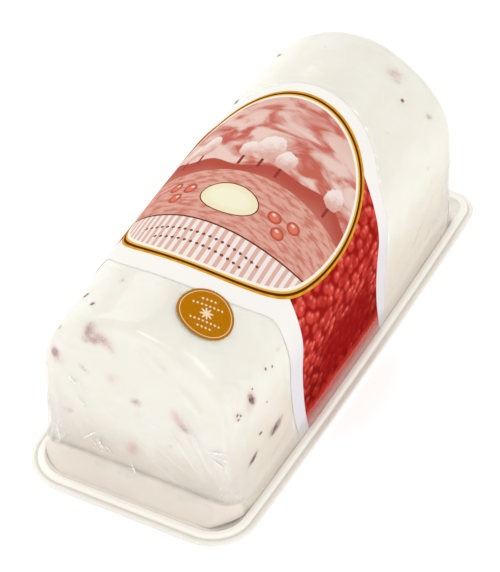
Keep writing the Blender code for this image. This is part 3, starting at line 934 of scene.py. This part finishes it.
def tray_profile():
    """The tray wall as inset and height: over the top from the floor to the lip, and back underneath."""
    bead_out = LIP_WIDTH + GROOVE_RUN
    bead_in = bead_out + BEAD_WIDTH
    foot = bead_in + INNER_WALL_RUN
    groove = LIP_HEIGHT - GROOVE_DEPTH
    under_bead = RIM_HEIGHT - TRAY_WALL
    upper = [
        (foot + 5.0 * BEAD_EASE, TRAY_WALL),
        (foot, TRAY_WALL),
        (bead_in, RIM_HEIGHT - 2.0 * BEAD_EASE),
        (bead_in - 0.5 * BEAD_SHOULDER, RIM_HEIGHT - 0.3 * BEAD_EASE),
        (bead_in - BEAD_SHOULDER, RIM_HEIGHT),
        (bead_out + BEAD_SHOULDER, RIM_HEIGHT),
        (bead_out + BEAD_EASE, RIM_HEIGHT - BEAD_EASE),
        (bead_out, groove),
        (LIP_WIDTH - LIP_EASE, LIP_HEIGHT),
        (LIP_EASE, LIP_HEIGHT),
        (0.0, LIP_HEIGHT - LIP_EASE),
    ]
    lower = [
        (0.5 * LIP_EASE, LIP_HEIGHT - TRAY_WALL),
        (bead_out, groove - TRAY_WALL),
        (bead_out + BEAD_SHOULDER, under_bead),
        (bead_in - BEAD_SHOULDER, under_bead),
        (bead_in - BEAD_EASE, under_bead - 2.0 * BEAD_EASE),
        (foot, 0.0),
    ]
    return rounded(np.array(upper), 2), rounded(np.array(lower), 1)


def build_tray(paint):
    """The tray: the wall's profile carried round its outline, with the floor closed by rings that shrink to a point."""
    upper, lower = tray_profile()
    rings = []
    for line in (upper, lower):
        rings.append([np.c_[tray_outline(inset), np.full(len(tray_outline(inset)), height)] for inset, height in line])
    over, under = rings
    shrink = np.linspace(0.0, 1.0, FLOOR_RINGS + 1)[:-1]
    inner = [over[0] * (share, share, 1.0) for share in shrink]
    outer = [under[-1] * (share, share, 1.0) for share in shrink[::-1]]
    grid = np.stack(inner + over + under + outer)
    points, faces = closed_shell(grid[:, ::-1])
    piece = make_piece("tray_shell", points, faces, paint, "tray")
    floor = np.full(FLOOR_RINGS, upper[0, 0])
    inset = np.concatenate([floor, upper[:, 0], lower[:, 0], floor]) / MM
    add_values(piece, "inset", np.concatenate([inset[:1], np.repeat(inset[1:-1], grid.shape[1]), inset[-1:]]))


def paint_cheese():
    """Fresh white cheese: cream with faint marbling, painted shade that makes it darker and yellower towards the foot,
    and berries that show through as stains.
    """
    p = Paint("fresh_cheese")
    place = p.place()
    across, _, height = p.parts(place)
    marble = p.noise(place, 9.0 * MM, 4.0, 0.6)
    broken = p.noise(place, 1.1 * MM, 3.0, 0.3)
    cream = p.mix(marble.rise(0.35, 0.68), srgb(238, 236, 225), srgb(240, 239, 230))
    uneven = height + marble * (10.0 * MM)
    at_side = abs(across).rise(32.0 * MM, 37.5 * MM)
    # Painted shade: a darker, yellower beige down the foot of each side.
    cream = p.mix(uneven.rise(54.0 * MM, 26.0 * MM) * at_side * 0.5, cream, srgb(222, 208, 184))
    # Painted shade: a darker beige towards the bottom all round.
    cream = p.mix(uneven.rise(37.0 * MM, 17.0 * MM) * 0.8, cream, srgb(219, 209, 197))
    pink = (p.attribute("stain_pink") * (0.55 + 0.9 * broken)).rise(0.05, 0.85)
    dark = (p.attribute("stain_dark") * (0.3 + 1.4 * broken)).rise(0.10, 0.65)
    colour = p.mix(pink * 0.7, cream, srgb(214, 160, 158))
    colour = p.mix(dark * 0.72, colour, srgb(146, 86, 72))
    grain = p.bump(p.noise(place, 0.8 * MM, 4.0), 0.05 * MM, 0.5)
    return p.finish({
        "Base Color": colour,
        "Roughness": 0.55,
        "Normal": grain,
        "Subsurface Weight": 0.7,
        "Subsurface Radius": (1.0, 0.85, 0.7),
        "Subsurface Scale": 1.8 * MM,
    })


def paint_berries():
    """Dried berry flesh: wine red to nearly black, lightly wet."""
    p = Paint("berry_flesh")
    blotch = p.noise(p.place(), 0.9 * MM, 3.0)
    light = p.mix(blotch.rise(0.35, 0.7), srgb(122, 66, 58), srgb(158, 104, 92))
    deep = p.mix(blotch.rise(0.35, 0.7), srgb(48, 20, 16), srgb(92, 46, 38))
    colour = p.mix(p.attribute("depth").rise(0.7, 0.95), light, deep)
    wrinkle = p.bump(p.noise(p.place(), 0.35 * MM, 3.0), 0.08 * MM, 0.6)
    return p.finish({"Base Color": colour, "Roughness": 0.45, "Normal": wrinkle})


def paint_film():
    """Clear film: see-through apart from its gloss and a thin haze, thicker on folds and where it stands off."""
    p = Paint("clear_film")
    place = p.place()
    crinkle = p.noise(place, 5.0 * MM, 1.0, 0.6)
    fine = p.bump(crinkle, 0.25 * MM, 0.35)
    rim = p.node("ShaderNodeLayerWeight", None, {"Blend": 0.35, "Normal": fine}, 0)
    _, _, height = p.parts(place)
    foot = height.rise(30.0 * MM, 2.0 * MM)
    gloss = 0.04 + rim * (0.45 - 0.3 * foot)
    haze = p.attribute("fold") * 0.22 + p.attribute("stand_off") * (0.22 + 0.14 * crinkle) + foot * 0.04
    milky = p.attribute("milky")
    haze = haze + milky * (0.25 + 0.05 * crinkle)
    solid = (gloss + haze).least(0.85)
    return p.finish({
        "Base Color": p.mix(milky, srgb(246, 243, 241), srgb(236, 227, 216)),
        "Metallic": gloss / (gloss + haze),
        "Roughness": 0.14 + milky * 0.12,
        "Normal": fine,
    }, solid)


def paint_crinkle_glints():
    """Film bunched into a sharp crinkle: milky white, and clearer in places. The white is partly painted highlight,
    standing in for the glints these crinkles catch.
    """
    p = Paint("film_crinkle_glint")
    clear = p.noise(p.place(), 1.2 * MM, 2.0)
    return p.finish({"Base Color": srgb(252, 251, 249), "Roughness": 0.25}, clear.rise(0.3, 0.65) * 0.45 + 0.45)


def paint_tray():
    """Thin ivory plastic with a soft gloss, very slight waves in it from the forming, and painted shade along the
    groove.
    """
    p = Paint("ivory_tray")
    place = p.place()
    cloud = p.noise(place, 30.0 * MM, 2.0)
    inset = p.attribute("inset")
    floor = p.mix(cloud.rise(0.3, 0.7), srgb(236, 229, 222), srgb(240, 234, 227))
    colour = p.mix(inset.rise(9.6, 7.6), floor, srgb(238, 234, 226))
    colour = p.mix(inset.rise(2.3, 1.9), colour, srgb(231, 226, 217))
    # Painted shade: a dark line along the groove between the bead and the lip.
    colour = p.mix(abs(inset - 2.0).rise(0.3, 0.05) * 0.4, colour, srgb(170, 162, 146))
    waves = p.bump(p.noise(place, 7.0 * MM, 2.0), 0.12 * MM, 0.4)
    return p.finish({
        "Base Color": colour,
        "Roughness": 0.13,
        "Normal": waves,
        "Coat Weight": 0.6,
        "Coat Roughness": 0.04,
    })


def oval_gap(p, x, y, half_x, half_y):
    """Distance outside an oval's edge, right near the edge: its equation over the size of its slope."""
    a, b = x / half_x, y / half_y
    level = a * a + b * b - 1.0
    slope = ((a / half_x) ** 2.0 + (b / half_y) ** 2.0).root() * 2.0
    return level / slope.most(0.0001)


def box_gap(x, y, half_x, half_y):
    """Distance outside a rectangle about the origin, with square corners."""
    return (abs(x) - half_x).most(abs(y) - half_y)


def inside(gap, edge=0.12):
    """1 inside an outline and 0 outside it, with an edge of that width."""
    return gap.rise(0.5 * edge, -0.5 * edge)


def paint_print():
    """The band's print, on the flat sheet in mm: x is arc length from the crown line and y the place along the log.

    A white border, a gold and brown oval frame, low hills with round trees under a wide sky, a meadow with a bare
    oval plaque between three round fruit on each side, a striped hem with two rows of diamonds, and a red field of
    berries down each side.
    """
    p = Paint("band_print")
    x, y, _ = p.parts(p.attribute("sheet", 1))
    side = abs(x)
    flat = p.vector(x, y)

    upper = y.rise(-8.01, -7.99)
    frame_gap = oval_gap(p, x, y + 8.0, 44.7, 60.0 - 9.0 * upper)
    cut = (-52.5 + 0.0095 * x * x - y) / ((0.019 * x) ** 2.0 + 1.0).root()
    apart = frame_gap - cut
    frame_gap = 0.5 * (frame_gap + cut + (apart * apart + 25.0).root()) - 0.9

    cloud = p.noise(p.vector(x * 0.55, y), 9.0, 4.0, 0.7)
    sky = p.mix(cloud.rise(0.38, 0.58), ink(203, 106, 90), ink(240, 208, 196))
    sky = p.mix(y.rise(20.0, 42.0) * 0.35, sky, ink(210, 124, 106))
    ridge = 3.0 + 2.6 * (x * 0.09 - 0.6).sine() + 1.2 * (x * 0.27).sine() - y
    scene = p.mix(ridge.rise(-0.3, 0.3), sky, ink(186, 84, 70))
    scene = p.mix(ridge.rise(1.0, 12.0) * 0.55, scene, ink(216, 140, 122))
    wood = p.noise(flat, 2.4, 3.0)
    trees = (
        (-31.0, 8.0, 3.6, 4.4),
        (-24.0, 10.5, 4.4, 5.6),
        (-6.0, 8.5, 3.2, 4.2),
        (1.0, 12.0, 5.0, 6.4),
        (8.5, 9.0, 3.6, 4.6),
        (30.0, 8.5, 3.8, 4.8),
    )
    for place_x, place_y, half_x, half_y in trees:
        crown = oval_gap(p, x - place_x, y - place_y, half_x, half_y) + (wood - 0.5) * 2.4
        lit = ((x - place_x) * -0.6 + (y - place_y)) / half_y + (wood - 0.5) * 1.6
        leaves = p.mix(lit.rise(-0.9, 0.7), ink(226, 174, 160), ink(247, 232, 224))
        trunk = box_gap(x - place_x, y - (place_y - half_y - 1.5), 0.55, 3.2)
        scene = p.mix(inside(trunk), scene, ink(150, 62, 56))
        scene = p.mix(inside(crown, 0.5), scene, leaves)
    meadow = -4.0 + 2.0 * (x * 0.07 + 0.5).sine() - y
    grass = p.mix(p.noise(p.vector(x, y * 3.0), 5.0, 3.0).rise(0.4, 0.65), ink(228, 172, 156), ink(208, 128, 110))
    scene = p.mix(meadow.rise(-0.25, 0.25), scene, grass)

    wobble = 0.35 * (y * 0.16).sine()
    wave = ((x + wobble) * (2.0 * math.pi / 3.1)).sine()
    stripes = p.mix(wave.rise(-0.15, 0.15), ink(247, 238, 232), ink(228, 184, 170))
    hem = y + 31.0 - 0.003 * x * x
    scene = p.mix(hem.rise(0.2, -0.2), scene, stripes)
    brown = ink(112, 52, 30)
    scene = p.mix(inside(abs(hem) - 0.35), scene, brown)

    plaque = oval_gap(p, x, y + 17.5, 11.0, 7.5)
    scene = p.mix(inside(plaque), scene, brown)
    sheen = p.mix(plaque.rise(-6.0, -1.0), ink(250, 245, 216), ink(246, 236, 198))
    scene = p.mix(inside(plaque + 0.45), scene, sheen)

    for place_x, place_y in ((17.0, -15.5), (21.0, -20.5), (24.5, -14.0)):
        fruit = oval_gap(p, side - place_x, y - place_y, 2.7, 2.6)
        shade = p.mix(fruit.rise(-2.2, 0.0), ink(230, 126, 100), ink(190, 84, 66))
        glint = oval_gap(p, side - place_x + 0.7, y - place_y - 0.9, 0.7, 0.5)
        scene = p.mix(inside(fruit, 0.3), scene, p.mix(inside(glint, 0.7), shade, ink(252, 222, 210)))
    for row_y, half_row in ((-37.0, 24.0), (-42.0, 18.0)):
        step = p.math("PINGPONG", x + 120.6, 1.2)
        diamond = (1.2 - step) + abs(y - row_y) - 0.75
        shown = inside(diamond.most(side - half_row), 0.15)
        scene = p.mix(shown, scene, ink(126, 70, 52))

    cell = p.vector(x / 3.6, y / 4.2)
    settings = {"voronoi_dimensions": "2D", "feature": "F1"}
    berry = p.node("ShaderNodeTexVoronoi", settings, {"Vector": cell, "Scale": 1.0, "Randomness": 0.9}, 0)
    tone = p.noise(flat, 6.0, 2.0)
    # Painted shade: the red field darker lower down the sides, where they turn under, and its printed sparks fainter
    # there.
    low = side.rise(60.0, 92.0)
    light = p.mix(low, ink(222, 72, 60), ink(174, 34, 24))
    deep = p.mix(low, ink(156, 24, 20), ink(122, 10, 8))
    red = p.mix(berry.rise(0.25, 0.7), light, deep)
    red = p.mix(tone.rise(0.4, 0.65) * 0.6, red, deep)
    shifted = p.vector(x / 3.6 + 0.12, y / 4.2 - 0.22)
    spark = p.node("ShaderNodeTexVoronoi", settings, {"Vector": shifted, "Scale": 1.0, "Randomness": 0.9}, 0)
    red = p.mix(spark.rise(0.3, 0.04) * tone.rise(0.65, 0.4) * (1.0 - 0.8 * low) * 0.6, red, ink(238, 150, 134))
    calm = side.rise(66.0, 70.0) * y.rise(-30.0, -22.0) * y.rise(12.0, 6.0) * side.rise(90.0, 84.0)
    red = p.mix(calm * 0.85, red, ink(154, 10, 12))
    # Painted light: the red lighter again along the band's lower edge, next to the tray.
    red = p.mix(side.rise(88.0, 92.0) * 0.6, red, ink(222, 66, 50))

    white = p.mix(p.noise(flat, 40.0, 2.0).rise(0.35, 0.65), ink(253, 250, 244), ink(255, 252, 247))
    # Painted shade: the white border greyer and cooler down the sides.
    white = p.mix(side.rise(42.0, 66.0), white, ink(238, 234, 238))
    front = -40.4 + 0.0045 * (side - 70.0) * (side - 70.0)
    back = 16.0 + 0.0062 * (side - 76.0) * (side - 76.0)
    field = inside((front - y).most(y - back).most(30.0 - side), 0.2)
    colour = p.mix(field, white, red)
    gold = p.mix(p.noise(flat, 3.0, 2.0).rise(0.35, 0.65), ink(222, 150, 28), ink(236, 170, 52))
    colour = p.mix(inside(frame_gap), colour, gold)
    colour = p.mix(inside(frame_gap + 0.95, 0.3), colour, ink(92, 44, 12))
    colour = p.mix(inside(frame_gap + 1.95, 0.3), colour, ink(238, 182, 74))
    colour = p.mix(inside(frame_gap + 2.75, 0.3), colour, ink(253, 249, 238))
    colour = p.mix(inside(frame_gap + 3.9, 0.3), colour, scene)
    crinkle = p.bump(p.noise(p.place(), 12.0 * MM, 3.0, 0.4), 0.15 * MM, 0.3)
    return p.finish({
        "Base Color": colour,
        "Roughness": 0.5,
        "IOR": 1.03,
        "Normal": crinkle,
    })


def paint_sticker():
    """Ochre paper with a cream ring, four short rows of diamonds and a rosette, on the flat sheet in mm about its
    middle.
    """
    p = Paint("ochre_sticker")
    x, y, _ = p.parts(p.attribute("sheet", 1))
    turn = p.math("ARCTAN2", y, x)
    out = (x * x / 10.5**2 + y * y / 9.4**2).root()
    fibre = p.noise(p.vector(x, y), 1.6, 3.0)
    ochre = p.mix(fibre.rise(0.3, 0.7), ink(187, 117, 6), ink(192, 122, 10))
    ring = inside(abs(out - 0.90) - 0.012, 0.02)
    star = inside(out - 0.17 - 0.07 * (turn * 8.0).sine(), 0.04)
    marks = ring.most(star)
    for row_y, half_row in ((3.1, 5.6), (5.4, 3.4), (-3.1, 5.6), (-5.4, 3.4)):
        step = p.math("PINGPONG", x + 60.0, 0.75)
        diamond = (0.75 - step) + abs(y - row_y) - 0.5
        marks = marks.most(inside(diamond.most(abs(x) - half_row), 0.12))
    colour = p.mix(marks * 0.9, ochre, ink(248, 232, 196))
    return p.finish({"Base Color": colour, "Roughness": 0.5, "IOR": 1.03})


def add_area_light(name, place, target, size, power, colour=(1.0, 1.0, 1.0)):
    """A rectangular softbox that faces its target."""
    lamp = bpy.data.lights.new(name, "AREA")
    lamp.shape = "RECTANGLE"
    lamp.size, lamp.size_y = size
    lamp.energy = power
    lamp.color = colour
    box = bpy.data.objects.new(name, lamp)
    back = np.array(place) - np.array(target)
    back = back / np.linalg.norm(back)
    right = np.cross((0.0, 0.0, 1.0), back)
    right /= np.linalg.norm(right)
    up = np.cross(back, right)
    box.matrix_world = Matrix([[right[i], up[i], back[i], place[i]] for i in range(3)] + [[0.0, 0.0, 0.0, 1.0]])
    bpy.context.scene.collection.objects.link(box)


def add_camera():
    """The photograph's camera."""
    lens = bpy.data.cameras.new("photo_camera")
    lens.lens = CAMERA_LENS
    lens.sensor_width = SENSOR
    lens.sensor_fit = "AUTO"
    lens.clip_start = 0.05
    camera = bpy.data.objects.new("photo_camera", lens)
    rows = [[CAMERA_RIGHT[i], CAMERA_UP[i], CAMERA_BACK[i], CAMERA_PLACE[i]] for i in range(3)]
    camera.matrix_world = Matrix(rows + [[0.0, 0.0, 0.0, 1.0]])
    bpy.context.scene.collection.objects.link(camera)
    bpy.context.scene.camera = camera


def add_studio():
    """A white floor, soft light from all round, and three softboxes: in front, at the right and a large one at the
    left.
    """
    scene = bpy.context.scene
    scene.view_settings.view_transform = "Standard"
    world = bpy.data.worlds.new("studio")
    world.use_nodes = True
    world.node_tree.nodes["Background"].inputs["Color"].default_value = (1.0, 1.0, 1.0, 1.0)
    world.node_tree.nodes["Background"].inputs["Strength"].default_value = 0.98
    scene.world = world
    floor_paint = Paint("white_floor")
    soft = floor_paint.noise(floor_paint.place(), 0.4, 2.0)
    tone = floor_paint.mix(soft, (0.955, 0.955, 0.955), (0.965, 0.965, 0.965))
    corners = np.array([(-4.0, -4.0, 0.0), (4.0, -4.0, 0.0), (4.0, 4.0, 0.0), (-4.0, 4.0, 0.0)]) - (0.0, 0.0, 0.05 * MM)
    mesh = bpy.data.meshes.new("floor")
    mesh.from_pydata(corners.tolist(), [], [(0, 1, 2, 3)])
    mesh.materials.append(floor_paint.finish({"Base Color": tone, "Roughness": 0.9, "Emission Color": (1.0, 1.0, 1.0), "Emission Strength": 0.2}))
    floor = bpy.data.objects.new("floor", mesh)
    scene.collection.objects.link(floor)
    middle = (0.0, 0.0, 0.05)
    add_area_light("front_softbox", (-0.15, -1.05, 0.72), middle, (0.5, 0.14), 1.2)
    add_area_light("right_softbox", (0.95, -0.15, 0.8), middle, (0.8, 0.5), 1.8)
    add_area_light("left_softbox", (-0.8, 0.3, 0.9), middle, (1.3, 0.9), 3.1)


def main():
    add_camera()
    add_studio()
    skin = Skin()
    spots = spot_frames(skin)
    cheese_loop = section_loop(70, 30, 18, 24)
    cheese_rows = stations(34, 10, 34, 34, CHEESE_INSIDE)
    build_cheese(cheese_loop, cheese_rows, spots, paint_cheese())
    build_berry_bits(spots, paint_berries())
    film_loop = section_loop(100, 40, 26, 20)
    film_rows = stations(62, 12, 42, 24, 0.0)
    film_grid = build_film(skin, film_loop, film_rows, paint_film())
    build_crinkles(film_grid, paint_crinkle_glints())
    build_band(skin, paint_print())
    build_sticker(skin, paint_sticker())
    build_tray(paint_tray())


main()
